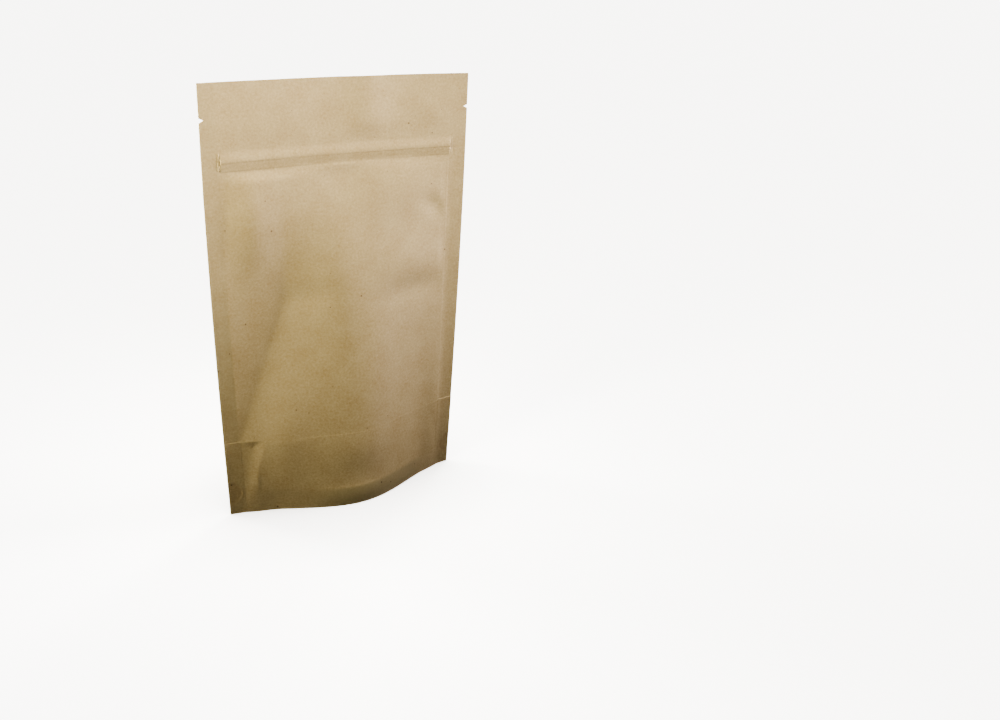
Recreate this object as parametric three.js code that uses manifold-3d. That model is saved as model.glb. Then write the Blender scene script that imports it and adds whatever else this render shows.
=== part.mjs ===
// Kraft paper stand-up pouch with a press-to-close strip, empty, its base gusset opened so that
// it stands by itself.
//
// The pouch is one laminate piece. Its front and back panels are sealed along both sides. Above
// the closing ribs is a flat header with a tear notch at each edge. Below, a folded gusset is
// sealed to both panels along a U-shaped line, which leaves a skirt for the pouch to stand on
// and a roof-shaped recess under the base.
//
// Millimetres, +Z up, front towards -Y, origin on the floor under the middle of the base.
// A point of a panel is named by u, its distance across the flat sheet from the middle, and by
// z, its height. The panel's bulge draws u inwards to x, so that the sheet keeps its width.

import * as THREE from 'three';
import { mergeVertices } from 'three/addons/utils/BufferGeometryUtils.js';
import Module from 'manifold-3d';

// ---- Driving dimensions ------------------------------------------------------------------

const WIDTH = 130; // flat width, edge to edge
const HEIGHT = 210;
const SHEET = 0.8; // the two plies of a seal, drawn thicker than the real 0.3
const SEAL_LEFT = 7.5; // width of the left side seal
const SEAL_RIGHT = 9;

// The opened panels: depth in front of the seals, largest at the floor and gone at the ribs.
const FOOT_BULGE = 19.6;
const BULGE_END = 172;
const BULGE_WANE = 0.8; // exponent of the loss of depth with height
const BULGE_REACH = 59; // half of the width that bulges
const BULGE_SHIFT = 2; // the crest stands a little right of the middle
const CROWN = 0.36; // roundness of the crest, as a share of the reach
const TOE = 0.1; // softness of the start beside the seals
const CREASE_FOOT = 38; // from here up a crease draws the left border of the bulge inwards
const CREASE_TOP = 108;
const CREASE_LEAN = 0.4; // inwards for each millimetre of height
const MOUTH_BOW = 3.4; // the middle of the mouth lies this far behind its corners

// The closing strip, pressed between the side seals.
const STRIP_HALF = 57;
const STRIP_TOP = 180.5;
const STRIP_BOTTOM = 169;
const STRIP_RAISE = 0.2;
const RIBS = [
  { z: 176.4, half: 1.7, rise: 0.6 },
  { z: 173.4, half: 1.3, rise: 0.4 },
];

// Tear notches: V-shaped nicks in both edges.
const NOTCH_Z = 194.5;
const NOTCHES = [
  { side: -1, deep: 2.1, tall: 2.3 },
  { side: 1, deep: 1.9, tall: 1.7 },
];

// The base gusset.
const GUSSET = 40; // height of its top fold at the side seals
const GUSSET_STEP = 0.2; // its two plies thicken each side seal below that fold
const SKIRT = 10.5; // height of the seal line above the floor in the middle
const SEAL_LINE_HALF = 52; // the seal line reaches the fold here
const SEAL_LINE_POWER = 3; // superellipse exponent of the U
const RECESS_HALF = 54; // beyond this the two sides of the skirt lie together
const RECESS_STEPS = 28;

// The mesh of the panels.
const SEAL_COLUMNS = 2;
const PANEL_COLUMNS = 32;
const SKIRT_ROWS = 7;
const PANEL_ROWS = 20;
const HEADER_ROWS = 4;
const EASE = 0.6; // height over which a pressed step rises

// ---- Form of the sheet ---------------------------------------------------------------------

const smooth = (t) => THREE.MathUtils.smoothstep(t, 0, 1);

/** Share of the full bulge, from 1 at the crest (t = 0) to 0 beside the seal (t = 1). */
function crossProfile(t) {
  const ridge = 1 - (Math.hypot(t, CROWN) - CROWN) / (Math.hypot(1, CROWN) - CROWN);
  const held = Math.max(ridge, 0);
  return ((1 + TOE) * held * held) / (held + TOE);
}

/** How far the crease has drawn the left border of the bulge inwards. */
function crease(z) {
  return CREASE_LEAN * THREE.MathUtils.clamp(z - CREASE_FOOT, 0, CREASE_TOP - CREASE_FOOT);
}

/** Depth of a panel in front of the plane of the seals. */
function bulge(u, z) {
  const crest = FOOT_BULGE * Math.max(1 - z / BULGE_END, 0) ** BULGE_WANE;
  const away = u - BULGE_SHIFT;
  const border = away < 0 ? crease(z) - BULGE_REACH : BULGE_REACH;
  return crest * crossProfile(away / (border - BULGE_SHIFT));
}

/** How far the middle of the header leans back; the seals stay upright. */
function bow(u, z) {
  return MOUTH_BOW * (z / HEIGHT) ** 2 * (1 - (u / (WIDTH / 2)) ** 2);
}

/** Relief of the closing strip and its two ribs. */
function strip(u, z) {
  const across = smooth((STRIP_HALF - Math.abs(u)) / EASE + 0.5);
  const band = smooth((STRIP_TOP - z) / EASE) * smooth((z - STRIP_BOTTOM) / EASE);
  const ribs = RIBS.map((rib) => rib.rise * Math.max(0, 1 - Math.abs(z - rib.z) / rib.half));
  return across * (band * STRIP_RAISE + Math.max(...ribs));
}

/** Extra thickness where the gusset's plies are caught in the side seals. */
function gussetPlies(u, z) {
  const inSeal = smooth(Math.abs(u) - SEAL_LINE_HALF + 0.5);
  return GUSSET_STEP * inSeal * smooth((GUSSET - z) / EASE);
}

/** Distance of a panel's face from the bowed middle surface. */
function faceDepth(u, z) {
  return SHEET / 2 + bulge(u, z) + strip(u, z) + gussetPlies(u, z);
}

/** Height of the line that seals the gusset to the panels. */
function sealLine(u) {
  const share = Math.min(Math.abs(u) / SEAL_LINE_HALF, 1);
  return GUSSET - (GUSSET - SKIRT) * (1 - share ** SEAL_LINE_POWER) ** (1 / SEAL_LINE_POWER);
}

/** Walks across the bulged sheet so that each stretch keeps its flat width; returns every x. */
function drawnIn(columns, z) {
  const steps = columns.slice(1).map((u, i) => {
    const deeper = bulge(u, z) - bulge(columns[i], z);
    return Math.sqrt((u - columns[i]) ** 2 - deeper ** 2);
  });
  const whole = steps.reduce((sum, step) => sum + step, 0);
  let x = -whole / 2;
  return [x, ...steps.map((step) => (x += step))];
}

// ---- Meshes --------------------------------------------------------------------------------

/** Evenly spaced values from one end to the other, both included. */
function spread(from, to, count) {
  return Array.from({ length: count + 1 }, (_, i) => from + ((to - from) * i) / count);
}

/** A closed skin over rings of equal length, its ends capped; flatten lays an end flat. */
function loft(rings, flatten) {
  const around = rings[0].length;
  const positions = rings.flat().flatMap((point) => point.toArray());
  const index = [];
  for (let ring = 0; ring < rings.length - 1; ring += 1) {
    for (let i = 0; i < around; i += 1) {
      const [low, next] = [ring * around + i, ring * around + ((i + 1) % around)];
      index.push(low, next, next + around, low, next + around, low + around);
    }
  }
  const lastRing = (rings.length - 1) * around;
  for (const [a, b, c] of THREE.ShapeUtils.triangulateShape(rings[0].map(flatten), [])) {
    index.push(a, c, b);
  }
  for (const [a, b, c] of THREE.ShapeUtils.triangulateShape(rings.at(-1).map(flatten), [])) {
    index.push(lastRing + a, lastRing + b, lastRing + c);
  }
  const geometry = new THREE.BufferGeometry();
  geometry.setAttribute('position', new THREE.Float32BufferAttribute(positions, 3));
  geometry.setIndex(index);
  return geometry;
}

/** The filled pouch: a ring for each height, along the front and back along the back panel. */
function pouchBody() {
  const [left, right] = [-WIDTH / 2, WIDTH / 2];
  const columns = [
    ...spread(left, left + SEAL_LEFT, SEAL_COLUMNS),
    ...spread(left + SEAL_LEFT, right - SEAL_RIGHT, PANEL_COLUMNS).slice(1, -1),
    ...spread(right - SEAL_RIGHT, right, SEAL_COLUMNS),
  ];
  const ribRows = RIBS.flatMap((rib) => [rib.z + rib.half, rib.z, rib.z - rib.half]);
  const rows = [
    ...spread(0, GUSSET - EASE, SKIRT_ROWS),
    ...spread(GUSSET, STRIP_BOTTOM, PANEL_ROWS),
    STRIP_BOTTOM + EASE,
    ...ribRows.sort((a, b) => a - b),
    ...spread(STRIP_TOP - EASE, STRIP_TOP, 1),
    ...spread(STRIP_TOP, HEIGHT, HEADER_ROWS).slice(1),
  ];
  const rings = rows.map((z) => {
    const x = drawnIn(columns, z);
    const face = (side) => columns.map(
      (u, i) => new THREE.Vector3(x[i], bow(u, z) + side * faceDepth(u, z), z),
    );
    return [...face(-1), ...face(1).reverse()];
  });
  return loft(rings, (point) => new THREE.Vector2(point.x, point.y));
}

/**
 * The space under the base: between the skirt's inner faces up to the seal line, then a gable
 * whose slopes keep the gusset's flat length up to its centre crease.
 */
function baseRecess() {
  const columns = spread(-RECESS_HALF, RECESS_HALF, RECESS_STEPS);
  const x = drawnIn(columns, 0);
  const rings = columns.map((u, i) => {
    const seal = sealLine(u);
    const [floorHalf, sealHalf] = [0, seal].map((z) => faceDepth(u, z) - SHEET);
    const crease = seal + Math.max(Math.sqrt((GUSSET - seal) ** 2 - sealHalf ** 2) || 0, EASE);
    const section = [
      [-floorHalf, -1], [floorHalf, -1], [floorHalf, 0],
      [sealHalf, seal], [0, crease], [-sealHalf, seal], [-floorHalf, 0],
    ];
    return section.map(([y, z]) => new THREE.Vector3(x[i], y, z));
  });
  return loft(rings, (point) => new THREE.Vector2(point.y, point.z));
}

/** A wedge that cuts one tear notch through both plies. */
function notchWedge({ side, deep, tall }) {
  const edge = WIDTH / 2;
  const wedge = new THREE.Shape([
    new THREE.Vector2(side * (edge - deep), NOTCH_Z),
    new THREE.Vector2(side * (edge + deep), NOTCH_Z + tall),
    new THREE.Vector2(side * (edge + deep), NOTCH_Z - tall),
  ]);
  const through = 10 * SHEET;
  const geometry = new THREE.ExtrudeGeometry(wedge, { depth: through, bevelEnabled: false });
  return geometry.rotateX(Math.PI / 2).translate(0, through / 2, 0);
}

// ---- Boolean cuts --------------------------------------------------------------------------

const wasm = await Module();
wasm.setup();

function toSolid(geometry) {
  const bare = geometry.clone();
  bare.deleteAttribute('normal');
  bare.deleteAttribute('uv');
  const merged = mergeVertices(bare);
  return new wasm.Manifold(new wasm.Mesh({
    numProp: 3,
    vertProperties: new Float32Array(merged.attributes.position.array),
    triVerts: new Uint32Array(merged.index.array),
  }));
}

function toGeometry(solid) {
  const { vertProperties, triVerts } = solid.getMesh();
  const geometry = new THREE.BufferGeometry();
  geometry.setAttribute('position', new THREE.BufferAttribute(vertProperties, 3));
  geometry.setIndex(new THREE.BufferAttribute(triVerts, 1));
  geometry.computeVertexNormals();
  return geometry;
}

// ---- The object ----------------------------------------------------------------------------

const cuts = [baseRecess(), ...NOTCHES.map(notchWedge)];
const laminate = cuts.reduce((solid, cut) => solid.subtract(toSolid(cut)), toSolid(pouchBody()));

const kraft = new THREE.MeshStandardMaterial({ color: 0xb99a6b, roughness: 0.75, metalness: 0 });
const pouch = new THREE.Mesh(toGeometry(laminate), kraft);
pouch.name = 'pouch';

const group = new THREE.Group();
group.add(pouch);

export default group;
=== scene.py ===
"""A kraft paper stand-up pouch, empty, standing on its opened base gusset.

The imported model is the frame. The pouch is one laminate piece: a flat web, cut and sealed, which
one Geometry Nodes tree opens at the foot, presses with its closing ribs and seals, and dents.

Sizes are in millimetres, and the finished mesh is in metres. A place on the sheet is named by u,
its distance across from the middle, and by z, its height, both measured along the flat sheet.
"""

from __future__ import annotations

import logging
import math
from dataclasses import dataclass, field
from enum import Enum
from operator import attrgetter
from typing import NamedTuple, Sequence

import bmesh
import bpy
from mathutils import Matrix, Vector


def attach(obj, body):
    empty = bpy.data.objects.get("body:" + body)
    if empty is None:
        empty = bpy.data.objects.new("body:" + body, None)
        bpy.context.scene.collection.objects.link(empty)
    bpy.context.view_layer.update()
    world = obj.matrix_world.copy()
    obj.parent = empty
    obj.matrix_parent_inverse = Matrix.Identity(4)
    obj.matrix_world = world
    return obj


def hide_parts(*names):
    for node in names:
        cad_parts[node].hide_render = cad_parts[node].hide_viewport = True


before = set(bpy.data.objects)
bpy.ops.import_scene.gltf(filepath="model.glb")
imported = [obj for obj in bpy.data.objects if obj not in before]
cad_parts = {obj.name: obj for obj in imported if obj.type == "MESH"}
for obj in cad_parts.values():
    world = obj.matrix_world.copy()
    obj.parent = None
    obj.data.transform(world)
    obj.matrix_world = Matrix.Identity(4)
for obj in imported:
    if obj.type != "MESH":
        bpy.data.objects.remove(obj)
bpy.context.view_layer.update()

LOG = logging.getLogger("pouch")
MM = 0.001  # metres in a millimetre


class Ply(Enum):
    """What a dent moves: one panel outwards, or both plies forwards, in the header or anywhere."""

    FRONT = -1
    BACK = 1
    HEADER = 0
    BOTH = 2


class Layer(Enum):
    """The layers of the web: its two outer faces, the plane between them, the gusset's film."""

    FRONT = -1
    MIDDLE = 0
    BACK = 1
    FILM = 2


class Finish(Enum):
    """What a face shows, by the name of the tree's input for its material."""

    PAPER = "Paper"
    CUT = "Cut"


# ---- Node helpers ----


def add_node(
    tree: bpy.types.NodeTree,
    kind: str,
    inputs: dict[int | str, object] | None = None,
    **settings: object,
) -> bpy.types.Node:
    """Adds a node with its settings, and sets or links its inputs.

    Args:
        tree: The tree that takes the node.
        kind: The node's bl_idname.
        inputs: A value, a Field or a socket for each input, by its name or index.
        **settings: Properties of the node.

    Returns:
        The new node.
    """
    node = tree.nodes.new(kind)
    for name, value in settings.items():
        setattr(node, name, value)
    for key, value in (inputs or {}).items():
        if isinstance(value, Field):
            value = value.socket
        if isinstance(value, bpy.types.NodeSocket):
            tree.links.new(value, node.inputs[key])
        else:
            node.inputs[key].default_value = value
    return node


@dataclass(frozen=True)
class Field:
    """A number in a node tree, whose arithmetic adds Math nodes."""

    tree: bpy.types.NodeTree
    socket: bpy.types.NodeSocket

    def math(self, operation: str, *others: Field | float) -> Field:
        """Adds one Math node.

        Args:
            operation: The node's operation.
            *others: Its further numbers, after this one.

        Returns:
            The result.
        """
        inputs = dict(enumerate([self, *others]))
        node = add_node(self.tree, "ShaderNodeMath", inputs, operation=operation)
        return Field(self.tree, node.outputs[0])

    def __add__(self, other: Field | float) -> Field:
        """Returns the sum."""
        return self.math("ADD", other)

    def __sub__(self, other: Field | float) -> Field:
        """Returns the difference."""
        return self.math("SUBTRACT", other)

    def __mul__(self, other: Field | float) -> Field:
        """Returns the product."""
        return self.math("MULTIPLY", other)

    def __truediv__(self, other: Field | float) -> Field:
        """Returns the quotient."""
        return self.math("DIVIDE", other)

    def __rsub__(self, other: float) -> Field:
        """Returns a plain number less this one."""
        return (self * -1.0) + other

    def above_zero(self) -> Field:
        """Returns this number, or zero where it is less."""
        return self.math("MAXIMUM", 0.0)

    def root(self) -> Field:
        """Returns the square root, or zero below zero."""
        return self.above_zero().math("SQRT")

    def soft(self) -> Field:
        """Returns a smooth step from 0 to 1 as this number goes from 0 to 1."""
        held = self.above_zero().math("MINIMUM", 1.0)
        return held * held * (3.0 - held * 2.0)

    def border(self, width: Field | float) -> Field:
        """Returns a smooth step from 0 to 1 over a width that is centred on zero."""
        return (self / width + 0.5).soft()

    def bell(self) -> Field:
        """Returns a bell curve of this squared distance, which is measured in half widths."""
        return (self * -0.5).math("EXPONENT")

    def hump(self) -> Field:
        """Returns a bell curve of height 1 that this number measures in half widths."""
        return (self * self).bell()


def total(fields: Sequence[Field]) -> Field:
    """Adds up several fields.

    Args:
        fields: One field or more.

    Returns:
        Their sum.
    """
    result = fields[0]
    for item in fields[1:]:
        result = result + item
    return result


def linear(hex_colour: str) -> tuple[float, float, float, float]:
    """Turns an sRGB hex colour into Blender's linear RGBA.

    Args:
        hex_colour: Six hex digits after a #.

    Returns:
        Red, green, blue and alpha, linear.
    """
    parts = [int(hex_colour[i : i + 2], 16) / 255 for i in (1, 3, 5)]
    return (*(c / 12.92 if c <= 0.04045 else ((c + 0.055) / 1.055) ** 2.4 for c in parts), 1.0)


# ---- Finishes ----


@dataclass(frozen=True)
class Paper:
    """A matt paper finish, by its name and the values of its surface."""

    name: str
    roughness: float
    specular: float

    def surface(self, tree: bpy.types.NodeTree) -> dict[str, object]:
        """Returns the further inputs of the surface, whose nodes it adds to the tree."""
        raise NotImplementedError

    def material(self) -> bpy.types.Material:
        """Builds the material.

        Returns:
            A material with the finish's own surface.
        """
        material = bpy.data.materials.new(self.name)
        material.use_nodes = True
        tree = material.node_tree
        tree.nodes.clear()
        values = {"Roughness": self.roughness, "Specular IOR Level": self.specular}
        shader = add_node(tree, "ShaderNodeBsdfPrincipled", values | self.surface(tree))
        add_node(tree, "ShaderNodeOutputMaterial", {"Surface": shader.outputs["BSDF"]})
        return material


@dataclass(frozen=True)
class KraftPaper(Paper):
    """Unbleached sack kraft on a laminate: machine-made, uncoated, so matt and fibrous.

    The eye sees an even warm brown, finely mottled by short pale and dark fibres lying every
    way, with a few dark flecks. Heat and pressure leave the skirt's sealed band a shade darker
    and more olive; that tone also carries painted shade there, and painted shade alone on the
    side seals and in the gusset's corners. The hotter round spot seals are browner.
    """

    name: str = "kraft_paper"
    roughness: float = 0.7
    specular: float = 0.35
    body: str = "#BBA479"
    pale: str = "#CBB689"
    deep: str = "#AB9163"
    # painted shade and seal tone: the darker olive of the skirt's band, the side seals and the
    # gusset's corners
    pressed_and_shade: str = "#978A64"
    scorched: str = "#8A5E34"
    fleck: str = "#5A4022"
    cloud_mm: float = 10.0  # real sheets are as cloudy, by 5 to 15 mm
    cloud_detail: float = 3.0
    pulp_mm: float = 1.1  # real flocks are 0.5 mm: as fine as the render can show
    fibre_long_mm: float = 2.2  # as long as real softwood fibres
    fibre_wide_mm: float = 0.4  # real fibres are 0.03 mm: as fine as the render can show
    fibre_turns: tuple[float, ...] = (0.35, 1.4, 2.45)  # radians: fibres lie every way
    fleck_every_mm: float = 7.0
    fleck_mm: float = 0.42  # radius of the largest, as of real specks of bark
    fleck_edge_mm: float = 0.125  # its outline fades over this
    cloud_share: float = 0.55  # how much each pattern moves the tone
    pulp_share: float = 0.75
    fibre_share: float = 1.25
    pressed_and_shade_share: float = 0.6  # how much of each colour lies over the paper's own
    scorched_share: float = 0.16
    fleck_share: float = 0.6
    bump: float = 0.3
    bump_mm: float = 0.12  # fibres really stand 0.02 mm: as deep as they need to show
    bump_pulp: float = 0.5  # share of the pulp in the relief, beside the fibres

    def surface(self, tree: bpy.types.NodeTree) -> dict[str, object]:
        """Adds the paper's colours and grain, on the sheet's own flat coordinates.

        Args:
            tree: The material's tree.

        Returns:
            The colour and the normal.
        """
        # the second attribute darkens the paper: the skirt seal's tone and painted shade
        flat, pressed_and_shade, spot = [
            add_node(
                tree, "ShaderNodeAttribute", attribute_type="GEOMETRY", attribute_name=name
            ).outputs[output]
            for name, output in (("flat", "Vector"), ("pressed_and_shade", "Fac"), ("spot", "Fac"))
        ]

        clouds = self._noise(tree, flat, (self.cloud_mm,) * 2, detail=self.cloud_detail) - 0.5
        pulp = self._noise(tree, flat, (self.pulp_mm,) * 2) - 0.5
        fibres = [
            self._noise(tree, flat, (self.fibre_long_mm, self.fibre_wide_mm), turn)
            for turn in self.fibre_turns
        ]
        weave = total(fibres) / len(fibres) - 0.5
        tone = clouds * self.cloud_share + pulp * self.pulp_share + weave * self.fibre_share
        ramp = add_node(tree, "ShaderNodeValToRGB", {0: tone + 0.5})
        ramp.color_ramp.elements[0].color = linear(self.deep)
        ramp.color_ramp.elements[1].color = linear(self.pale)
        ramp.color_ramp.elements.new(0.5).color = linear(self.body)

        colour = ramp.outputs["Color"]
        # the first layer lays painted shade together with the skirt seal's tone
        layers = (
            (Field(tree, pressed_and_shade) * self.pressed_and_shade_share, self.pressed_and_shade),
            (Field(tree, spot) * self.scorched_share, self.scorched),
            (self._flecks(tree, flat) * self.fleck_share, self.fleck),
        )
        for amount, over in layers:  # a Mix node takes its colours at 6 and 7
            mix = {"Factor": amount, 6: colour, 7: linear(over)}
            colour = add_node(tree, "ShaderNodeMix", mix, data_type="RGBA").outputs[2]

        relief = {
            "Strength": self.bump,
            "Distance": self.bump_mm * MM,
            "Height": weave + pulp * self.bump_pulp,
        }
        bump = add_node(tree, "ShaderNodeBump", relief)
        return {"Base Color": colour, "Normal": bump.outputs["Normal"]}

    @staticmethod
    def _noise(
        tree: bpy.types.NodeTree,
        flat: bpy.types.NodeSocket,
        grain_mm: tuple[float, float],
        turn: float = 0.0,
        detail: float = 1.0,
    ) -> Field:
        """Adds a noise on the sheet.

        Args:
            tree: The material's tree.
            flat: The place on the sheet, in metres.
            grain_mm: Length and width of a grain.
            turn: How far the grains are turned, in radians.
            detail: How many finer octaves it has.

        Returns:
            The noise, round 0.5.
        """
        scale = (*(size * MM for size in grain_mm), 1.0)
        placed = {"Vector": flat, "Rotation": (0.0, 0.0, turn), "Scale": scale}
        mapping = add_node(tree, "ShaderNodeMapping", placed, vector_type="TEXTURE")
        values = {"Vector": mapping.outputs["Vector"], "Scale": 1.0, "Detail": detail}
        return Field(tree, add_node(tree, "ShaderNodeTexNoise", values).outputs["Fac"])

    def _flecks(self, tree: bpy.types.NodeTree, flat: bpy.types.NodeSocket) -> Field:
        """Adds sparse round flecks of many sizes.

        Args:
            tree: The material's tree.
            flat: The place on the sheet, in metres.

        Returns:
            1 on a fleck and 0 beside it.
        """
        spread = {"Vector": flat, "Scale": 1 / (self.fleck_every_mm * MM), "Randomness": 1.0}
        cells = add_node(tree, "ShaderNodeTexVoronoi", spread)
        away = Field(tree, cells.outputs["Distance"]) * self.fleck_every_mm
        size = add_node(tree, "ShaderNodeSeparateColor", {0: cells.outputs["Color"]})
        radius = Field(tree, size.outputs[0]) * self.fleck_mm
        return 1.0 - ((away - radius) / self.fleck_edge_mm).soft()


@dataclass(frozen=True)
class CutPaper(Paper):
    """The knife-cut edge of the laminate: raw fibre and film, paler than the face."""

    name: str = "cut_paper_edge"
    roughness: float = 0.8
    specular: float = 0.3
    body: str = "#EADDC0"
    low: str = "#D2C19A"
    grain_mm: float = 0.8  # torn fibre ends are 0.05 mm: as fine as the render can show
    detail: float = 2.0

    def surface(self, tree: bpy.types.NodeTree) -> dict[str, object]:
        """Adds the pale fibres, on Object coordinates.

        Args:
            tree: The material's tree.

        Returns:
            The colour.
        """
        grain = {
            "Vector": add_node(tree, "ShaderNodeTexCoord").outputs["Object"],
            "Scale": 1 / (self.grain_mm * MM),
            "Detail": self.detail,
        }
        noise = add_node(tree, "ShaderNodeTexNoise", grain)
        ramp = add_node(tree, "ShaderNodeValToRGB", {0: noise.outputs["Fac"]})
        ramp.color_ramp.elements[0].color = linear(self.low)
        ramp.color_ramp.elements[1].color = linear(self.body)
        return {"Base Color": ramp.outputs["Color"]}


# ---- Sizes of the pouch ----


def soft_step(t: float) -> float:
    """Returns a smooth step from 0 to 1 as t goes from 0 to 1."""
    held = min(max(t, 0.0), 1.0)
    return held * held * (3 - 2 * held)


def soft_border(away: float, width: float) -> float:
    """Returns a smooth step from 0 to 1 over a width that is centred on zero."""
    return soft_step(away / width + 0.5)


@dataclass(frozen=True)
class Sheet:
    """The laminate as it is cut. It is nearer its real thickness here than in the solid."""

    width: float = 130.0
    height: float = 210.0
    sealed: float = 0.5  # the two plies of a seal
    wall: float = 0.4  # one ply of the skirt or of the gusset
    least: float = 0.05  # a ply of the gusset keeps this far from the middle


@dataclass(frozen=True)
class SideSeals:
    """The flat pressed seals at both sides."""

    left: float = 7.5
    right: float = 9.0
    edge: float = 0.6  # width of the step at a seal's edge
    lift: float = 0.07  # a panel stands this far in front of them
    lift_fade: float = 4.0  # which ends over this height under the closing strip


@dataclass(frozen=True)
class Bulge:
    """The opened panels: deepest at the floor, flat at the closing strip."""

    foot: float = 19.6
    end: float = 172.0
    wane: float = 0.8  # exponent of the loss of depth with height
    reach: float = 59.0  # half of the width that bulges
    shift: float = 2.0  # the crest stands a little right of the middle
    crown: float = 0.36  # roundness of the crest, as a share of the reach
    toe: float = 0.1  # softness of the start beside the seals
    draw_in: float = 1.19  # mean squared slope of the profile: the sheet keeps its width
    tuck: float = 0.05  # the lower edge of the skirt is drawn in by this share


@dataclass(frozen=True)
class Crease:
    """The slanting crease that draws the left border of the bulge inwards."""

    foot: float = 38.0
    top: float = 108.0
    lean: float = 0.4
    ease: float = 0.3  # it starts more softly than the bulge beside a seal


@dataclass(frozen=True)
class Corners:
    """The sealed corners of the gusset, which hold the bulge back up to the gusset's fold."""

    foot: float = 5.0
    lean: float = 0.3
    edge: float = 6.5
    fades: tuple[float, float] = (3.5, 20.0)  # height under the fold, at the left and the right
    holds: tuple[float, float] = (0.65, 0.25)  # how firmly, at the left and the right


@dataclass(frozen=True)
class BaseGusset:
    """The folded gusset, sealed to both panels along a U-shaped line, which leaves a skirt."""

    fold: float = 40.0  # height of its top fold at the side seals
    plies: float = 0.15  # its two plies thicken the side seals
    print: float = 0.06  # and its top fold shows through the panel
    seal_rise: float = 0.11  # the panel is thicker where the gusset is sealed to it
    seal_middle: float = 13.0  # which shows over this distance from the middle
    seal_least: float = 0.1  # and hardly beyond
    seal_edge: float = 1.0
    skirt: float = 10.5
    line_half: float = 52.0
    line_power: float = 3.0
    recess_half: float = 56.0

    def seal_line(self, u: float) -> float:
        """Follows the U-shaped line that seals the gusset to the panels.

        Args:
            u: Distance across the sheet from its middle.

        Returns:
            The line's height there.
        """
        share = min(abs(u) / self.line_half, 1.0)
        bend = (1 - share**self.line_power) ** (1 / self.line_power)
        return self.fold - (self.fold - self.skirt) * bend

    def sealed(self, u: float, z: float) -> float:
        """Returns 1 where the gusset is sealed to the panel, and 0 above its seal line."""
        return soft_border(self.seal_line(u) - z, self.seal_edge)


@dataclass(frozen=True)
class SpotSeals:
    """The round seals at the feet of the side seals, centred on the sheet's edges."""

    height: float = 11.7
    radius: float = 6.5
    edge: float = 1.4
    press: float = 0.1
    rim: float = 0.14  # paper squeezed up round each of them

    def inside(self, from_edge: float, z: float) -> float:
        """Returns 1 inside a spot seal and 0 outside it."""
        return soft_border(self.radius - math.hypot(from_edge, z - self.height), self.edge)


@dataclass(frozen=True)
class Step:
    """A step that the press leaves in the closing strip: the sheet comes forward from one height
    to the next.
    """

    low: float
    high: float
    rise: float


@dataclass(frozen=True)
class ClosingStrip:
    """The press-to-close strip, whose ribs push the panels out between the side seals."""

    half: float = 57.0
    top: float = 181.0
    bottom: float = 171.4
    edge: float = 0.5
    steps: tuple[Step, ...] = (
        Step(171.4, 172.2, 0.16),  # lower lip
        Step(172.0, 175.4, 0.36),  # lower band, which leans forward
        Step(175.1, 175.9, 0.16),  # underside of the upper rib
        Step(176.2, 181.0, -0.68),  # its long upper side
    )
    ends: tuple[tuple[float, float], ...] = ((-57.4, 0.3), (57.3, 0.12))  # u and rise of a ridge
    end_wide: float = 0.3
    end_tall: float = 4.5  # up and down from the middle of the strip
    end_fade: float = 1.5
    pinches: tuple[float, ...] = (-39.0, -27.5, -21.5, -2.5)  # u of the nicks in the rib
    pinch_at: float = 178.0
    pinch_wide: float = 0.28
    pinch_tall: float = 0.9
    pinch_rise: float = 0.09


@dataclass(frozen=True)
class Notch:
    """A tear notch: a V-shaped nick in the left (-1) or right (1) edge."""

    edge: int
    deep: float
    tall: float
    give: float = 3.0  # the columns of the mesh give way to it over this many depths

    def pull(self, away: float, up: float) -> float:
        """Draws the sheet's edge back.

        Args:
            away: Distance inwards from the uncut edge.
            up: Height above the notch's tip.

        Returns:
            The shift towards the middle.
        """
        open_share = max(0.0, 1 - abs(up) * 2 / self.tall)
        return self.deep * open_share * max(0.0, 1 - away / (self.give * self.deep))


@dataclass(frozen=True)
class Header:
    """The flat part above the closing strip, with a tear notch in each edge."""

    bow: float = 3.4  # the middle of the mouth lies this far behind its corners
    groove: float = 0.8  # how far the hairline between the two plies of the mouth goes down
    wave_ease: float = 9.0  # its dents set in over this height above the strip
    notch_at: float = 194.5
    notches: tuple[Notch, ...] = (Notch(-1, 2.1, 2.3), Notch(1, 1.9, 1.7))


@dataclass(frozen=True)
class Slack:
    """Where a panel is slack enough to dent: not beside a seal, the floor or the strip."""

    beside: float = 5.0
    foot: float = 3.0
    over_foot: float = 10.0
    under_strip: float = 5.0


@dataclass(frozen=True)
class Dent:
    """A soft bulge (rise above 0) or hollow (below 0), with its half width and half height."""

    ply: Ply
    u: float
    z: float
    wide: float
    tall: float
    rise: float
    turn: float = 0.0  # degrees, anticlockwise seen from the front


@dataclass(frozen=True)
class PressingAndShade:
    """How much the paper is darkened, from 0 to 1, and where: the band along the skirt by its
    seal's own tone and by painted shade, the gusset's corners and the side seals by painted shade.
    """

    foot: float = 0.9  # the band along the skirt: its seal's tone, with painted shade
    foot_over: float = 1.0  # which ends this far above its seal line
    foot_fade: float = 3.0
    foot_left: tuple[float, float] = (40.0, 40.0)  # how far it goes, and over what it fades
    foot_right: tuple[float, float] = (50.0, 15.0)
    # painted shade in the gusset's sealed corners, stronger at the left
    corner_shade_left: float = 0.14
    corner_shade_right: float = 0.04
    corner_edge: float = 2.0
    corner_fade: float = 0.8
    # painted shade on the side seals, nearly all on the left, strongest at mid-height
    seal_shade_left: float = 0.5
    seal_shade_right: float = 0.04
    seal_edge: float = 1.0
    seal_from: tuple[float, float] = (30.0, 30.0)  # height, and over what it sets in
    seal_till: tuple[float, float] = (90.0, 50.0)  # height, and over what it fades
    seal_loss: float = 0.8


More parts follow.
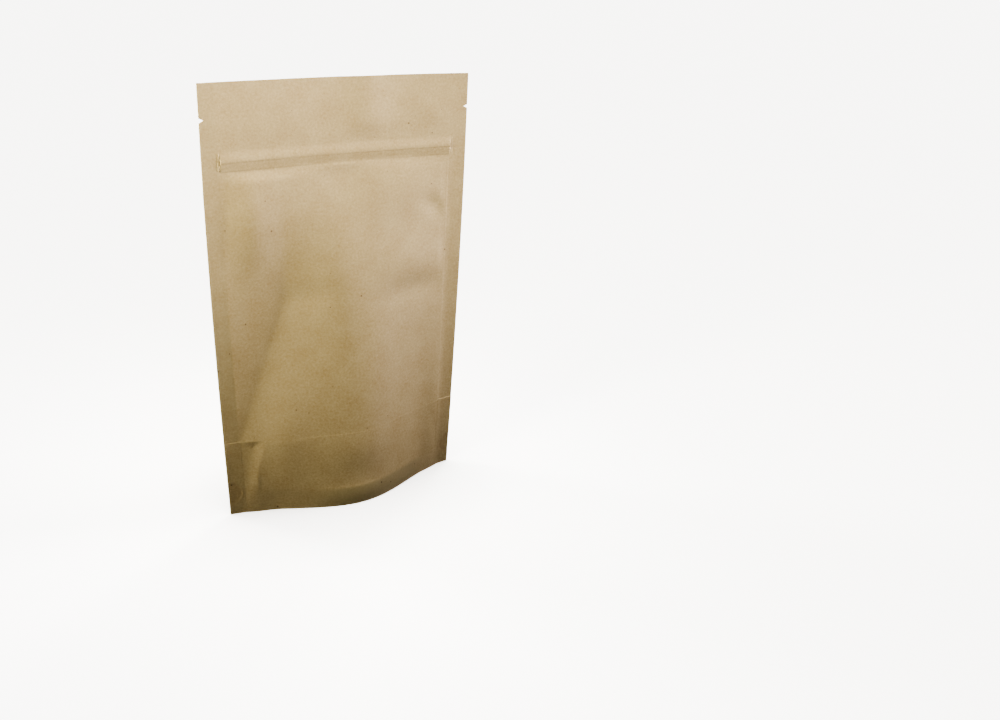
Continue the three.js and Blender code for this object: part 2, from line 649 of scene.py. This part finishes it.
def stations(start: float, *spans: tuple[float, float]) -> list[float]:
    """Divides a line span by span.

    Args:
        start: The first place.
        *spans: For each span its end and its widest spacing.

    Returns:
        Every place, from the start to the last end.
    """
    places = [start]
    for end, spacing in spans:
        begin = places[-1]
        count = math.ceil((end - begin) / spacing - 1e-6)  # less a little, for rounding
        places += [begin + (end - begin) * k / count for k in range(1, count + 1)]
    return places


# ---- The pouch ----


@dataclass(frozen=True)
class PouchLaminate:
    """The whole pouch: panels, seals, header, closing strip, notches and base gusset.

    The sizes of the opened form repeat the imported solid's.
    """

    sheet: Sheet = Sheet()
    seal: SideSeals = SideSeals()
    bulge: Bulge = Bulge()
    crease: Crease = Crease()
    corners: Corners = Corners()
    gusset: BaseGusset = BaseGusset()
    spot: SpotSeals = SpotSeals()
    strip: ClosingStrip = ClosingStrip()
    header: Header = Header()
    slack: Slack = Slack()
    pressing_and_shade: PressingAndShade = PressingAndShade()
    dents: tuple[Dent, ...] = ()
    sharp_degrees: float = 50.0  # an edge of the mesh that is bent further stays sharp

    def pressed_and_shade(self, u: float, z: float) -> float:
        """Darkens the paper along the skirt, in the gusset's corners and in the side seals, with
        painted shade and, along the skirt, the seal's own tone.

        Args:
            u: Distance across the sheet from its middle.
            z: Height on the sheet.

        Returns:
            From 0, not darkened, to 1.
        """
        pressing_and_shade, edge, is_left = self.pressing_and_shade, self.sheet.width / 2, u < 0
        (left, left_fade), (right, right_fade) = pressing_and_shade.foot_left, pressing_and_shade.foot_right
        # the skirt's band: its seal's own tone, with painted shade
        low = soft_step((self.gusset.skirt + pressing_and_shade.foot_over - z) / pressing_and_shade.foot_fade)
        along = soft_step((u + left) / left_fade) * soft_step((right - u) / right_fade)
        foot = pressing_and_shade.foot * self.gusset.sealed(u, z) * low * along

        # painted shade in the gusset's corners, up to its fold
        lean = self.corners.lean * max(z - self.corners.foot, 0.0)
        beside = soft_border(abs(u) - self.bulge.reach + lean, pressing_and_shade.corner_edge)
        below = soft_step((self.gusset.fold - z) / pressing_and_shade.corner_fade)
        corner_shade = (pressing_and_shade.corner_shade_left if is_left else pressing_and_shade.corner_shade_right) * beside * below

        # painted shade on the side seals
        width = self.seal.left if is_left else self.seal.right
        inside = soft_border(abs(u) - edge + width, pressing_and_shade.seal_edge)
        (start, rise), (end, fade) = pressing_and_shade.seal_from, pressing_and_shade.seal_till
        up = soft_step((z - start) / rise) - pressing_and_shade.seal_loss * soft_step((z - end) / fade)
        seal = (pressing_and_shade.seal_shade_left if is_left else pressing_and_shade.seal_shade_right) * inside * up
        return max(foot, corner_shade, seal)

    def build(self, paper: bpy.types.Material, cut: bpy.types.Material) -> bpy.types.Object:
        """Opens the web and turns the result into a plain mesh.

        Args:
            paper: The material of the faces.
            cut: The material of the cut edges.

        Returns:
            The finished pouch, at the origin.
        """
        web = FlatWeb(self).build()
        form = Form(self)
        form.build({Finish.PAPER: paper, Finish.CUT: cut})
        modifier = web.modifiers.new("open_pouch", "NODES")
        modifier.node_group = form.tree
        for item in form.tree.interface.items_tree:
            if item.in_out == "INPUT" and item.name in form.values:
                modifier[item.identifier] = form.values[item.name]
        bpy.context.view_layer.update()
        evaluated = web.evaluated_get(bpy.context.evaluated_depsgraph_get())
        mesh = bpy.data.meshes.new_from_object(evaluated)
        web.modifiers.clear()
        web.data = mesh
        mesh.name = "pouch_laminate"
        mesh.set_sharp_from_angle(angle=math.radians(self.sharp_degrees))
        LOG.info("pouch_laminate: %d faces", len(mesh.polygons))
        return web


class SheetPoint(NamedTuple):
    """What the web carries at a vertex."""

    u: float
    height: float
    side: float  # -1 in front, 1 behind, 0 between the plies
    share: float  # how much of the panel's depth the vertex takes
    inset: float  # how far it lies inside that depth
    fold: float  # 1 on the film, which rises to the gusset's centre crease
    path: float  # its place along the unfolded web
    foot: float = 0.0  # 1 where the gusset is sealed to the panel
    spot: float = 0.0  # 1 inside a spot seal
    pressed_and_shade: float = 0.0  # how much the seals' tone and painted shade darken the paper


Vertex = tuple[Layer, int, int]  # a vertex of the web by its layer, column and row


def cell(vertex: Vertex) -> list[Vertex]:
    """Returns the corners of the web's cell that starts at a vertex, anticlockwise."""
    layer, i, j = vertex
    return [(layer, i, j), (layer, i + 1, j), (layer, i + 1, j + 1), (layer, i, j + 1)]


@dataclass
class FlatWeb:
    """The closed skin of the pouch, laid out on the sheet and not yet opened.

    The rows of its film run from the front panel's lower edge up the skirt's inner face, over
    the gusset to its centre crease and down to the back panel's lower edge.
    """

    pouch: PouchLaminate
    wall_steps: int = 10
    film_steps: int = 22
    pinch_step: float = 0.25  # between the columns at a pinch of the closing strip
    pinch_clear: float = 0.2  # the other columns keep this far from them
    points: list[SheetPoint] = field(default_factory=list)
    index: dict[Vertex, int] = field(default_factory=dict)
    faces: list[tuple[int, ...]] = field(default_factory=list)
    finishes: list[Finish] = field(default_factory=list)

    def __post_init__(self) -> None:
        """Lays out the columns, the rows and the ends of the open recess."""
        self.columns, self.rows = self._columns(), self._rows()
        self.last, self.top = len(self.columns) - 1, len(self.rows) - 1
        self.over = 2 * (self.wall_steps + self.film_steps)
        half = self.pouch.gusset.recess_half
        inside = [i for i, u in enumerate(self.columns) if -half < u < half]
        self.ends = (inside[0], inside[-1])

    def _columns(self) -> list[float]:
        """Places the columns.

        Returns:
            Every u of the mesh, closer at the borders of the side seals and at the pinches.
        """
        pouch = self.pouch
        edge, line = pouch.sheet.width / 2, pouch.gusset.line_half
        left, right = -edge + pouch.seal.left, edge - pouch.seal.right
        places = stations(
            -edge,
            (left - 1.5, 0.5),  # left seal
            (left + 1.5, 0.2),  # border of the left seal
            (-line + 3, 0.5),  # start of the bulge and the end of the recess
            (-line + 6, 0.8),
            (line - 6, 1.25),  # panel
            (right - 1.5, 0.8),
            (right + 2.0, 0.25),  # border of the right seal
            (edge, 0.5),  # right seal
        )
        fine = [at + self.pinch_step * k for at in pouch.strip.pinches for k in range(-2, 3)]
        clear = [u for u in places if all(abs(u - at) > self.pinch_clear for at in fine)]
        return sorted(clear + fine)

    def _rows(self) -> list[float]:
        """Places the rows.

        Returns:
            Every z of the mesh, closer at the gusset's fold, the closing strip and the notches.
        """
        pouch = self.pouch
        return stations(
            0.0,
            (pouch.gusset.skirt - 2.5, 1.0),  # skirt
            (pouch.spot.height + pouch.spot.radius + 0.5, 0.5),  # seal line and spot seals
            (pouch.gusset.fold - 1.5, 1.2),
            (pouch.gusset.fold + 1.0, 0.2),  # top fold
            (pouch.strip.bottom - 1.0, 1.3),  # panel
            (pouch.strip.top, 0.22),  # closing strip
            (pouch.header.notch_at - 1.2, 1.3),  # header
            (pouch.header.notch_at + 1.2, 0.15),  # notches
            (pouch.sheet.height, 1.3),
        )

    def _film_point(self, vertex: Vertex) -> SheetPoint:
        """Describes a vertex of the skirt's inner face or of the gusset.

        Args:
            vertex: Its layer, column and row.

        Returns:
            What the web carries there.
        """
        _, i, j = vertex
        gusset, u = self.pouch.gusset, self.columns[i]
        seal = gusset.seal_line(u)
        step = min(j, self.over - j)
        if step <= self.wall_steps:
            height, share, fold = seal * step / self.wall_steps, 1.0, 0.0
            path = -height
        else:
            height, fold = seal, 1.0
            share = 1.0 - (step - self.wall_steps) / self.film_steps
            path = -seal - (1 - share) * (gusset.fold - seal)
        side = -1.0 if j < self.over / 2 else 1.0
        if side > 0:
            path = -2 * gusset.fold - path
        share = 0.0 if i in self.ends else share
        return SheetPoint(u, height, side, share, self.pouch.sheet.wall, fold, path)

    def _panel_point(self, vertex: Vertex) -> SheetPoint:
        """Describes a vertex of a panel's outer face or between the plies.

        Args:
            vertex: Its layer, column and row.

        Returns:
            What the web carries there.
        """
        layer, i, j = vertex
        pouch, u, z = self.pouch, self.columns[i], self.rows[j]
        edge = pouch.sheet.width / 2
        for notch in pouch.header.notches:
            away = edge - u * notch.edge
            u -= notch.edge * notch.pull(away, z - pouch.header.notch_at)
        if layer is Layer.MIDDLE and j == self.top:
            z -= pouch.header.groove
        side = float(layer.value)
        path = z if side <= 0 else -2 * pouch.gusset.fold - z
        foot, spot = pouch.gusset.sealed(u, z), pouch.spot.inside(edge - abs(u), z)
        # darkening of the paper: the skirt seal's tone and painted shade
        pressed_and_shade = pouch.pressed_and_shade(u, z)
        return SheetPoint(u, z, side, abs(side), 0.0, 0.0, path, foot, spot, pressed_and_shade)

    def _point(self, vertex: Vertex) -> int:
        """Numbers a vertex, and makes it when it is first asked for.

        Args:
            vertex: Its layer, column and row.

        Returns:
            Its number in the mesh.
        """
        layer, i, j = vertex
        if layer is Layer.FILM and i in self.ends:  # where both sides of the film meet
            j = min(j, self.over - j)
            layer = Layer.FILM if j else Layer.MIDDLE
            vertex = (layer, i, j)
        if vertex not in self.index:
            self.index[vertex] = len(self.points)
            describe = self._film_point if layer is Layer.FILM else self._panel_point
            self.points.append(describe(vertex))
        return self.index[vertex]

    def _face(self, finish: Finish, *vertices: Vertex) -> None:
        """Adds a face with its finish."""
        self.faces.append(tuple(self._point(vertex) for vertex in vertices))
        self.finishes.append(finish)

    def _edge(self, a: Vertex, b: Vertex, across: int, up: int) -> None:
        """Adds a cut face between two vertices and those that many columns and rows on."""
        ends = [(layer, i + across, j + up) for layer, i, j in (b, a)]
        self._face(Finish.CUT, a, ends[1], ends[0], b)

    def build(self) -> bpy.types.Object:
        """Builds the web.

        Returns:
            An object whose mesh carries the numbers of a SheetPoint at each vertex.
        """
        front, middle, back, film = Layer
        for i in range(self.last):
            for j in range(self.top):
                self._face(Finish.PAPER, *cell((front, i, j)))
                self._face(Finish.PAPER, *reversed(cell((back, i, j))))
        for j in range(self.top):
            for i, layers in ((0, (front, middle, back)), (self.last, (back, middle, front))):
                for near, far in zip(layers, layers[1:]):
                    self._edge((near, i, j), (far, i, j), across=0, up=1)
        first, end = self.ends
        for i in range(self.last):
            mouth = [(layer, i, self.top) for layer in (front, middle, back)]
            low, high = (middle, i, 0), (middle, i, 0)
            if first <= i < end:
                low, high = (film, i, 0), (film, i, self.over)
                for j in range(self.over):
                    self._face(Finish.PAPER, *reversed(cell((film, i, j))))
            rims = (mouth[:2], mouth[1:], (low, (front, i, 0)), ((back, i, 0), high))
            for a, b in rims:
                self._edge(a, b, across=1, up=0)

        mesh = bpy.data.meshes.new("pouch_web")
        places = [(point.u * MM, 0.0, point.height * MM) for point in self.points]
        mesh.from_pydata(places, [], self.faces)
        for column, name in enumerate(SheetPoint._fields):
            layer = mesh.attributes.new(name, "FLOAT", "POINT")
            layer.data.foreach_set("value", [point[column] for point in self.points])
        layer = mesh.attributes.new("cut", "BOOLEAN", "FACE")
        layer.data.foreach_set("value", [finish is Finish.CUT for finish in self.finishes])
        web = bpy.data.objects.new("pouch_laminate", mesh)
        bpy.context.scene.collection.objects.link(web)
        return web


class Form:
    """The Geometry Nodes tree that opens the flat web into the standing pouch.

    It works in millimetres on the numbers that the web carries, and places points in metres.
    """

    def __init__(self, pouch: PouchLaminate) -> None:
        """Starts the tree.

        Args:
            pouch: The pouch whose sizes it takes.
        """
        self.pouch = pouch
        self.values: dict[str, object] = {}
        self.tree = bpy.data.node_groups.new("open_pouch", "GeometryNodeTree")
        for name, way in (("Web", "INPUT"), ("Pouch", "OUTPUT")):
            kind = "NodeSocketGeometry"
            self.tree.interface.new_socket(name=name, in_out=way, socket_type=kind)
        self.u, self.z, self.side = [self.stored(name) for name in ("u", "height", "side")]
        half_width = self.size("sheet.width") * 0.5
        self.from_left = self.u + half_width - self.size("seal.left")
        self.from_right = half_width - self.size("seal.right") - self.u

    def given(self, name: str, kind: str, value: object) -> bpy.types.NodeSocket:
        """Gives a named input to the tree, which gets it when it is first asked for.

        Args:
            name: The input's name.
            kind: The kind of its socket.
            value: What the modifier sets it to.

        Returns:
            The socket that gives it inside the tree.
        """
        if name not in self.values:
            self.tree.interface.new_socket(name=name, in_out="INPUT", socket_type=kind)
            self.values[name] = value
        return add_node(self.tree, "NodeGroupInput").outputs[name]

    def size(self, path: str) -> Field:
        """Gives a size to the tree.

        Args:
            path: Where the pouch holds it, such as bulge.reach.

        Returns:
            The input that is named for it, such as Bulge Reach.
        """
        name = path.replace(".", " ").replace("_", " ").title()
        value = attrgetter(path)(self.pouch)
        return Field(self.tree, self.given(name, "NodeSocketFloat", value))

    def stored(self, name: str) -> Field:
        """Returns a number that the web carries."""
        node = add_node(self.tree, "GeometryNodeInputNamedAttribute", {"Name": name})
        return Field(self.tree, node.outputs["Attribute"])

    def opened(self) -> tuple[Field, Field]:
        """Opens the panels.

        Returns:
            The depth of a panel in front of its seals, and its place across, which is drawn
            inwards so that the sheet keeps its width.
        """
        size = self.size
        away = self.u - size("bulge.shift")
        to_left, way = away.math("LESS_THAN", 0.0), away.math("SIGN")
        low = (1.0 - self.z / size("bulge.end")).above_zero()
        crest = size("bulge.foot") * low.math("POWER", size("bulge.wane"))
        risen = (self.z - size("crease.foot")).above_zero()
        risen = risen.math("MINIMUM", size("crease.top") - size("crease.foot"))
        crease = risen * size("crease.lean") * to_left

        t = away.math("ABSOLUTE") / (size("bulge.reach") - size("bulge.shift") * way - crease)
        crown = size("bulge.crown")
        ridge = (t * t + crown * crown).root() - crown
        widest = (crown * crown + 1.0).root() - crown
        held = (1.0 - ridge / widest).above_zero()
        toe = size("bulge.toe") + crease / size("bulge.reach") * size("crease.ease")
        bulge = crest * held * held * (toe + 1.0) / (held + toe)
        tuck = (1.0 - self.z / size("gusset.skirt")).above_zero()
        bulge = bulge * (1.0 - self.held_back(to_left)) * (1.0 - tuck * tuck * size("bulge.tuck"))
        drawn = crest * crest * size("bulge.draw_in") / (size("bulge.reach") * 2.0) * t.soft()
        return bulge, self.u - drawn * way

    def held_back(self, to_left: Field) -> Field:
        """Holds the bulge back at the gusset's sealed corners.

        Args:
            to_left: 1 left of the crest and 0 right of it.

        Returns:
            The share of the bulge that is lost.
        """
        lean = (self.z - self.size("corners.foot")).above_zero() * self.size("corners.lean")
        beside = self.u.math("ABSOLUTE") - self.size("bulge.reach") + lean
        fade, hold = [
            to_left * (left - right) + right
            for left, right in (self.pouch.corners.fades, self.pouch.corners.holds)
        ]
        low = ((self.size("gusset.fold") - self.z) / fade).soft()
        return beside.border(self.size("corners.edge")) * hold * low

    def relief(self) -> Field:
        """Presses the seals and the closing strip.

        Returns:
            How far a panel's face comes forward.
        """
        size = self.size
        edge = size("seal.edge")
        panel = self.from_left.border(edge) * self.from_right.border(edge)
        lifted = panel * ((size("strip.bottom") - self.z) / size("seal.lift_fade")).soft()
        folded = ((size("gusset.fold") - self.z) / edge).soft()
        plies = (1.0 - panel) * size("gusset.plies") + size("gusset.print")
        least = size("gusset.seal_least")
        in_middle = (self.u / size("gusset.seal_middle")).hump() * (1.0 - least) + least
        sealed = self.stored("foot") * size("gusset.seal_rise") * in_middle
        spot = self.stored("spot")
        rim = spot * (1.0 - spot) * 4.0 * size("spot.rim")  # its height halfway across
        parts = [lifted * size("seal.lift"), self.closing_strip(), folded * plies, sealed, rim]
        return total(parts) - spot * size("spot.press")

    def closing_strip(self) -> Field:
        """Presses the closing strip.

        Returns:
            How far it stands out of the panel.
        """
        size, strip, u, z = self.size, self.pouch.strip, self.u, self.z
        steps = total([
            ((z - step.low) / (step.high - step.low)).soft() * step.rise for step in strip.steps
        ])
        nicks = total([((u - at) / size("strip.pinch_wide")).hump() for at in strip.pinches])
        nicks = nicks * ((z - size("strip.pinch_at")) / size("strip.pinch_tall")).hump()
        ends = total([((u - at) / size("strip.end_wide")).hump() * up for at, up in strip.ends])
        from_middle = (z - (size("strip.top") + size("strip.bottom")) / 2.0).math("ABSOLUTE")
        ends = ends * ((size("strip.end_tall") - from_middle) / size("strip.end_fade")).soft()
        inside = ((size("strip.half") - u.math("ABSOLUTE")) / size("strip.edge")).soft()
        return inside * (steps + nicks * size("strip.pinch_rise")) + ends

    def dents(self, ply: Ply) -> Field:
        """Adds up the dents of a ply.

        Args:
            ply: What the dents move.

        Returns:
            Their rise over the sheet.
        """
        rises = [self.u * 0.0]  # the ply may have none
        for dent in self.pouch.dents:
            if dent.ply is ply:
                along, up = self.u - dent.u, self.z - dent.z
                c, s = math.cos(math.radians(dent.turn)), math.sin(math.radians(dent.turn))
                far_u = (along * c + up * s) / dent.wide
                far_z = (up * c - along * s) / dent.tall
                rises.append((far_u * far_u + far_z * far_z).bell() * dent.rise)
        return total(rises)

    def dented(self) -> Field:
        """Dents the panels where they are slack.

        Returns:
            How far a panel's face comes forward.
        """
        size = self.size
        beside, foot = size("slack.beside"), size("slack.foot")
        slack = (self.from_left / beside).soft() * (self.from_right / beside).soft()
        slack = slack * ((self.z - foot) / size("slack.over_foot")).soft()
        slack = slack * ((size("strip.bottom") - self.z) / size("slack.under_strip")).soft()
        on_front = self.side.math("LESS_THAN", -0.5)
        on_back = self.side.math("GREATER_THAN", 0.5)
        return (self.dents(Ply.FRONT) * on_front + self.dents(Ply.BACK) * on_back) * slack

    def bowed(self) -> Field:
        """Bows the surface between the plies, and waves it.

        Returns:
            How far it leans back.
        """
        up = (self.z / self.size("sheet.height")).math("POWER", 2.0)
        aside = (self.u / (self.size("sheet.width") * 0.5)).math("POWER", 2.0)
        above = ((self.z - self.size("strip.top")) / self.size("header.wave_ease")).soft()
        bow = self.size("header.bow") * up * (1.0 - aside)
        return bow - self.dents(Ply.HEADER) * above - self.dents(Ply.BOTH)

    def build(self, materials: dict[Finish, bpy.types.Material]) -> None:
        """Places the web's points, lays the paper's pattern on them and sets the materials.

        Args:
            materials: The material of each finish.
        """
        bulge, x = self.opened()
        depth = self.size("sheet.sealed") * 0.5 + bulge + self.relief() + self.dented()
        inner = (depth - self.stored("inset")).math("MAXIMUM", self.size("sheet.least"))
        share = self.stored("share")
        y = self.bowed() + self.side * share * inner
        spare = ((self.size("gusset.fold") - self.z).math("POWER", 2.0) - inner * inner).root()
        z = self.z + self.stored("fold") * (1.0 - share) * spare

        tree, web = self.tree, add_node(self.tree, "NodeGroupInput").outputs["Web"]
        place, flat = [
            add_node(tree, "ShaderNodeCombineXYZ", dict(zip("XYZ", axes))).outputs["Vector"]
            for axes in ((x * MM, y * MM, z * MM), (self.u * MM, self.stored("path") * MM, 0.0))
        ]
        kind = "GeometryNodeInputNamedAttribute"
        is_cut = add_node(tree, kind, {"Name": "cut"}, data_type="BOOLEAN")
        paper, cut = [
            self.given(finish.value, "NodeSocketMaterial", materials[finish]) for finish in Finish
        ]
        at_cut = {"Selection": is_cut.outputs["Attribute"], "Material": cut}
        on_points = {"data_type": "FLOAT_VECTOR", "domain": "POINT"}
        chain = (
            ("GeometryNodeSetPosition", {"Position": place}, {}),
            ("GeometryNodeStoreNamedAttribute", {"Name": "flat", "Value": flat}, on_points),
            ("GeometryNodeSetShadeSmooth", {}, {}),
            ("GeometryNodeRealizeInstances", {}, {}),
            ("GeometryNodeSetMaterial", {"Material": paper}, {}),
            ("GeometryNodeSetMaterial", at_cut, {}),
        )
        for kind, inputs, settings in chain:
            node = add_node(tree, kind, {"Geometry": web, **inputs}, **settings)
            web = node.outputs["Geometry"]
        add_node(tree, "NodeGroupOutput", {"Pouch": web})


# ---- Studio ----


@dataclass(frozen=True)
class SoftBox:
    """A soft rectangular light, placed round the pouch. Its lengths are in metres."""

    name: str
    azimuth: float  # degrees from the front, to the viewer's right
    elevation: float
    distance: float
    size: tuple[float, float]
    watts: float
    colour: str
    aim: tuple[float, float, float]
    spread: float  # degrees

    def build(self) -> bpy.types.Object:
        """Adds the light.

        Returns:
            The light, aimed at its point.
        """
        light = bpy.data.lights.new(self.name, "AREA")
        light.shape = "RECTANGLE"
        light.size, light.size_y = self.size
        light.energy = self.watts
        light.color = linear(self.colour)[:3]
        light.spread = math.radians(self.spread)
        lamp = bpy.data.objects.new(self.name, light)
        a, e = math.radians(self.azimuth), math.radians(self.elevation)
        away = Vector((math.sin(a) * math.cos(e), -math.cos(a) * math.cos(e), math.sin(e)))
        lamp.location = Vector(self.aim) + away * self.distance
        lamp.rotation_euler = away.to_track_quat("Z", "Y").to_euler()
        bpy.context.scene.collection.objects.link(lamp)
        return lamp


@dataclass(frozen=True)
class Studio:
    """The pale floor, the soft lights and the camera. Lengths are in metres."""

    floor_radius: float = 6.0
    floor_colour: str = "#EFEDE9"
    floor_roughness: float = 0.9
    floor_glow: float = 3.0  # a backlit table, whose light the camera sees and the pouch doesn't
    contact_shade: float = 0.06  # round the foot the table dims over this distance
    shade_samples: int = 8
    dome_segments: int = 48
    world_colour: str = "#EEF3FF"
    world_strength: float = 0.07
    view_look: str = "AgX - High Contrast"
    focal_px: float = 1033.7  # focal length in pixels of the 1000 by 720 picture
    picture_px: float = 1000.0
    sensor_mm: float = 36.0
    near_clip: float = 0.01
    camera_at: tuple[float, float, float] = (-0.19166, -0.43436, 0.28715)
    camera_look: tuple[float, float, float] = (0.50051, 0.76339, -0.40832)
    camera_right: tuple[float, float, float] = (0.84846, -0.52629, 0.05608)
    lights: tuple[SoftBox, ...] = (
        SoftBox("left_box", -72, 6, 0.4, (0.13, 0.13), 0.78, "#FEFDEC", (0, 0, 0.251), 85),
        SoftBox("right_box", 77, 3, 0.46, (0.13, 0.13), 0.92, "#FBF8FF", (0, 0, 0.237), 69),
        SoftBox("over_box", 0, 58, 0.6, (0.25, 0.25), 0.28, "#FFFFFF", (0, 0, 0.34), 80),
        SoftBox("back_left", -140, 8, 0.45, (0.13, 0.13), 0.7, "#FFFFFF", (0, 0, 0.25), 80),
        SoftBox("back_right", 125, 8, 0.45, (0.13, 0.13), 0.7, "#FFFFFF", (0, 0, 0.25), 80),
    )

    def build(self) -> None:
        """Adds the floor, the lights and the camera."""
        self.backdrop()
        for box in self.lights:
            box.build()
            LOG.info("light %s", box.name)
        scene = bpy.context.scene
        world = bpy.data.worlds.new("studio")
        world.use_nodes = True
        background = world.node_tree.nodes["Background"]
        background.inputs["Color"].default_value = linear(self.world_colour)
        background.inputs["Strength"].default_value = self.world_strength
        scene.world = world
        scene.view_settings.view_transform = "AgX"
        scene.view_settings.look = self.view_look
        self.camera()

    def backdrop(self) -> None:
        """Adds the pale floor and, far off, a dome that goes on from it."""
        around = bpy.data.meshes.new("dome")
        skin = bmesh.new()
        bmesh.ops.create_uvsphere(
            skin,
            u_segments=self.dome_segments,
            v_segments=self.dome_segments // 2,
            radius=self.floor_radius,
        )
        low = [vertex for vertex in skin.verts if vertex.co.z < -MM]
        bmesh.ops.delete(skin, geom=low, context="VERTS")
        skin.to_mesh(around)
        skin.free()
        flat = bpy.data.meshes.new("floor")
        half = self.floor_radius
        corners = [(-half, -half, 0), (half, -half, 0), (half, half, 0), (-half, half, 0)]
        flat.from_pydata(corners, [], [(0, 1, 2, 3)])
        material = self.glowing_table()
        for mesh in (flat, around):
            mesh.materials.append(material)
            piece = bpy.data.objects.new(mesh.name, mesh)
            piece.visible_diffuse = piece.visible_glossy = piece.visible_shadow = False
            bpy.context.scene.collection.objects.link(piece)

    def glowing_table(self) -> bpy.types.Material:
        """Builds the floor's material.

        Returns:
            A matt, backlit material that is dimmer close to what stands on it.
        """
        material = bpy.data.materials.new("matt_floor")
        material.use_nodes = True
        tree = material.node_tree
        shader = tree.nodes["Principled BSDF"]
        colour = linear(self.floor_colour)
        contact = {"Color": colour, "Distance": self.contact_shade}
        kind = "ShaderNodeAmbientOcclusion"
        shade = add_node(tree, kind, contact, samples=self.shade_samples)
        shader.inputs["Base Color"].default_value = colour
        shader.inputs["Roughness"].default_value = self.floor_roughness
        shader.inputs["Emission Strength"].default_value = self.floor_glow
        tree.links.new(shade.outputs["Color"], shader.inputs["Emission Color"])
        return material

    def camera(self) -> None:
        """Adds the camera, placed where the picture of the pouch was taken from."""
        data = bpy.data.cameras.new("camera")
        data.sensor_width = self.sensor_mm
        data.lens = self.focal_px / self.picture_px * data.sensor_width
        data.clip_start = self.near_clip
        camera = bpy.data.objects.new("camera", data)
        look = Vector(self.camera_look).normalized()
        right = Vector(self.camera_right)
        right = (right - look * right.dot(look)).normalized()
        up = right.cross(look)
        turn = Matrix((right, up, -look)).transposed().to_4x4()
        camera.matrix_world = Matrix.Translation(self.camera_at) @ turn
        bpy.context.scene.collection.objects.link(camera)
        bpy.context.scene.camera = camera


# ---- Dents of this pouch ----

FRONT_DENTS = (
    Dent(Ply.FRONT, -44, 149, 6, 17, 2.4),  # puffed out under the left end of the strip
    Dent(Ply.FRONT, -31, 151, 9, 18, 1.8),  # and on towards the middle
    Dent(Ply.FRONT, 0, 148, 9, 18, -0.5),
    Dent(Ply.FRONT, -36, 46, 8, 14, 1.7, -16),  # shoulder beside the crease
    Dent(Ply.FRONT, -13, 87, 12, 17, -0.9, -7),  # flattened crest
    Dent(Ply.FRONT, 11, 60, 8, 32, 1.2, -7),  # shoulder right of the crest
    Dent(Ply.FRONT, 38, 107, 13, 4.5, -0.9, 4),  # valley of the fold at the right
    Dent(Ply.FRONT, 36, 122, 12, 10, 1.4),  # the panel above that fold
    Dent(Ply.FRONT, 48, 147, 6, 3, -0.65, -35),  # short fold beside the right seal
    Dent(Ply.FRONT, 1, 165, 8, 12, -0.7),  # hollow under the middle of the strip
    Dent(Ply.FRONT, 34, 157, 13, 9, 0.9),  # puffed out under its right end
    Dent(Ply.FRONT, -20, 111, 9, 4, -0.5),  # end of the crease
    Dent(Ply.FRONT, 2, 15, 13, 7, -0.7),  # hollow over the seal of the foot
    Dent(Ply.FRONT, 0, 32, 14, 6, 0.3),  # rise above that hollow
    Dent(Ply.FRONT, -38, 22, 9, 13, 1.2),  # fullness over the left foot
    Dent(Ply.FRONT, -51, 18, 0.8, 3, 0.35, -6),  # short ridge beside the left seal
)
BACK_DENTS = (
    Dent(Ply.BACK, 44, 138, 8, 17, 2.2),
    Dent(Ply.BACK, -33, 52, 9, 15, 1.3, -14),
    Dent(Ply.BACK, 30, 66, 10, 24, -0.8, 12),
    Dent(Ply.BACK, -36, 118, 14, 7, 0.8, 8),
    Dent(Ply.BACK, 6, 150, 12, 10, -0.5),
)
SEAL_DENTS = (  # the opened gusset pulls the feet of the side seals forwards
    Dent(Ply.BOTH, -54, 8, 6, 25, 1.9),
    Dent(Ply.BOTH, 54, 22, 5.5, 42, 1.5),
)
HEADER_DENTS = (  # slow waves of the header, which is free at the top
    Dent(Ply.HEADER, 14, 196, 7, 20, 1.0),
    Dent(Ply.HEADER, 47, 192, 7, 4, 0.3, -20),
    Dent(Ply.HEADER, -34, 200, 14, 12, 0.4),
)


def main() -> None:
    """Builds the studio and the pouch in order, and reports each piece."""
    logging.basicConfig(level=logging.INFO, format="%(name)s: %(message)s")
    Studio().build()
    pouch = PouchLaminate(dents=FRONT_DENTS + BACK_DENTS + SEAL_DENTS + HEADER_DENTS)
    piece = pouch.build(KraftPaper().material(), CutPaper().material())
    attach(piece, "root")
    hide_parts("pouch")
    LOG.info("pouch_laminate rides on root")


if __name__ == "__main__":
    main()
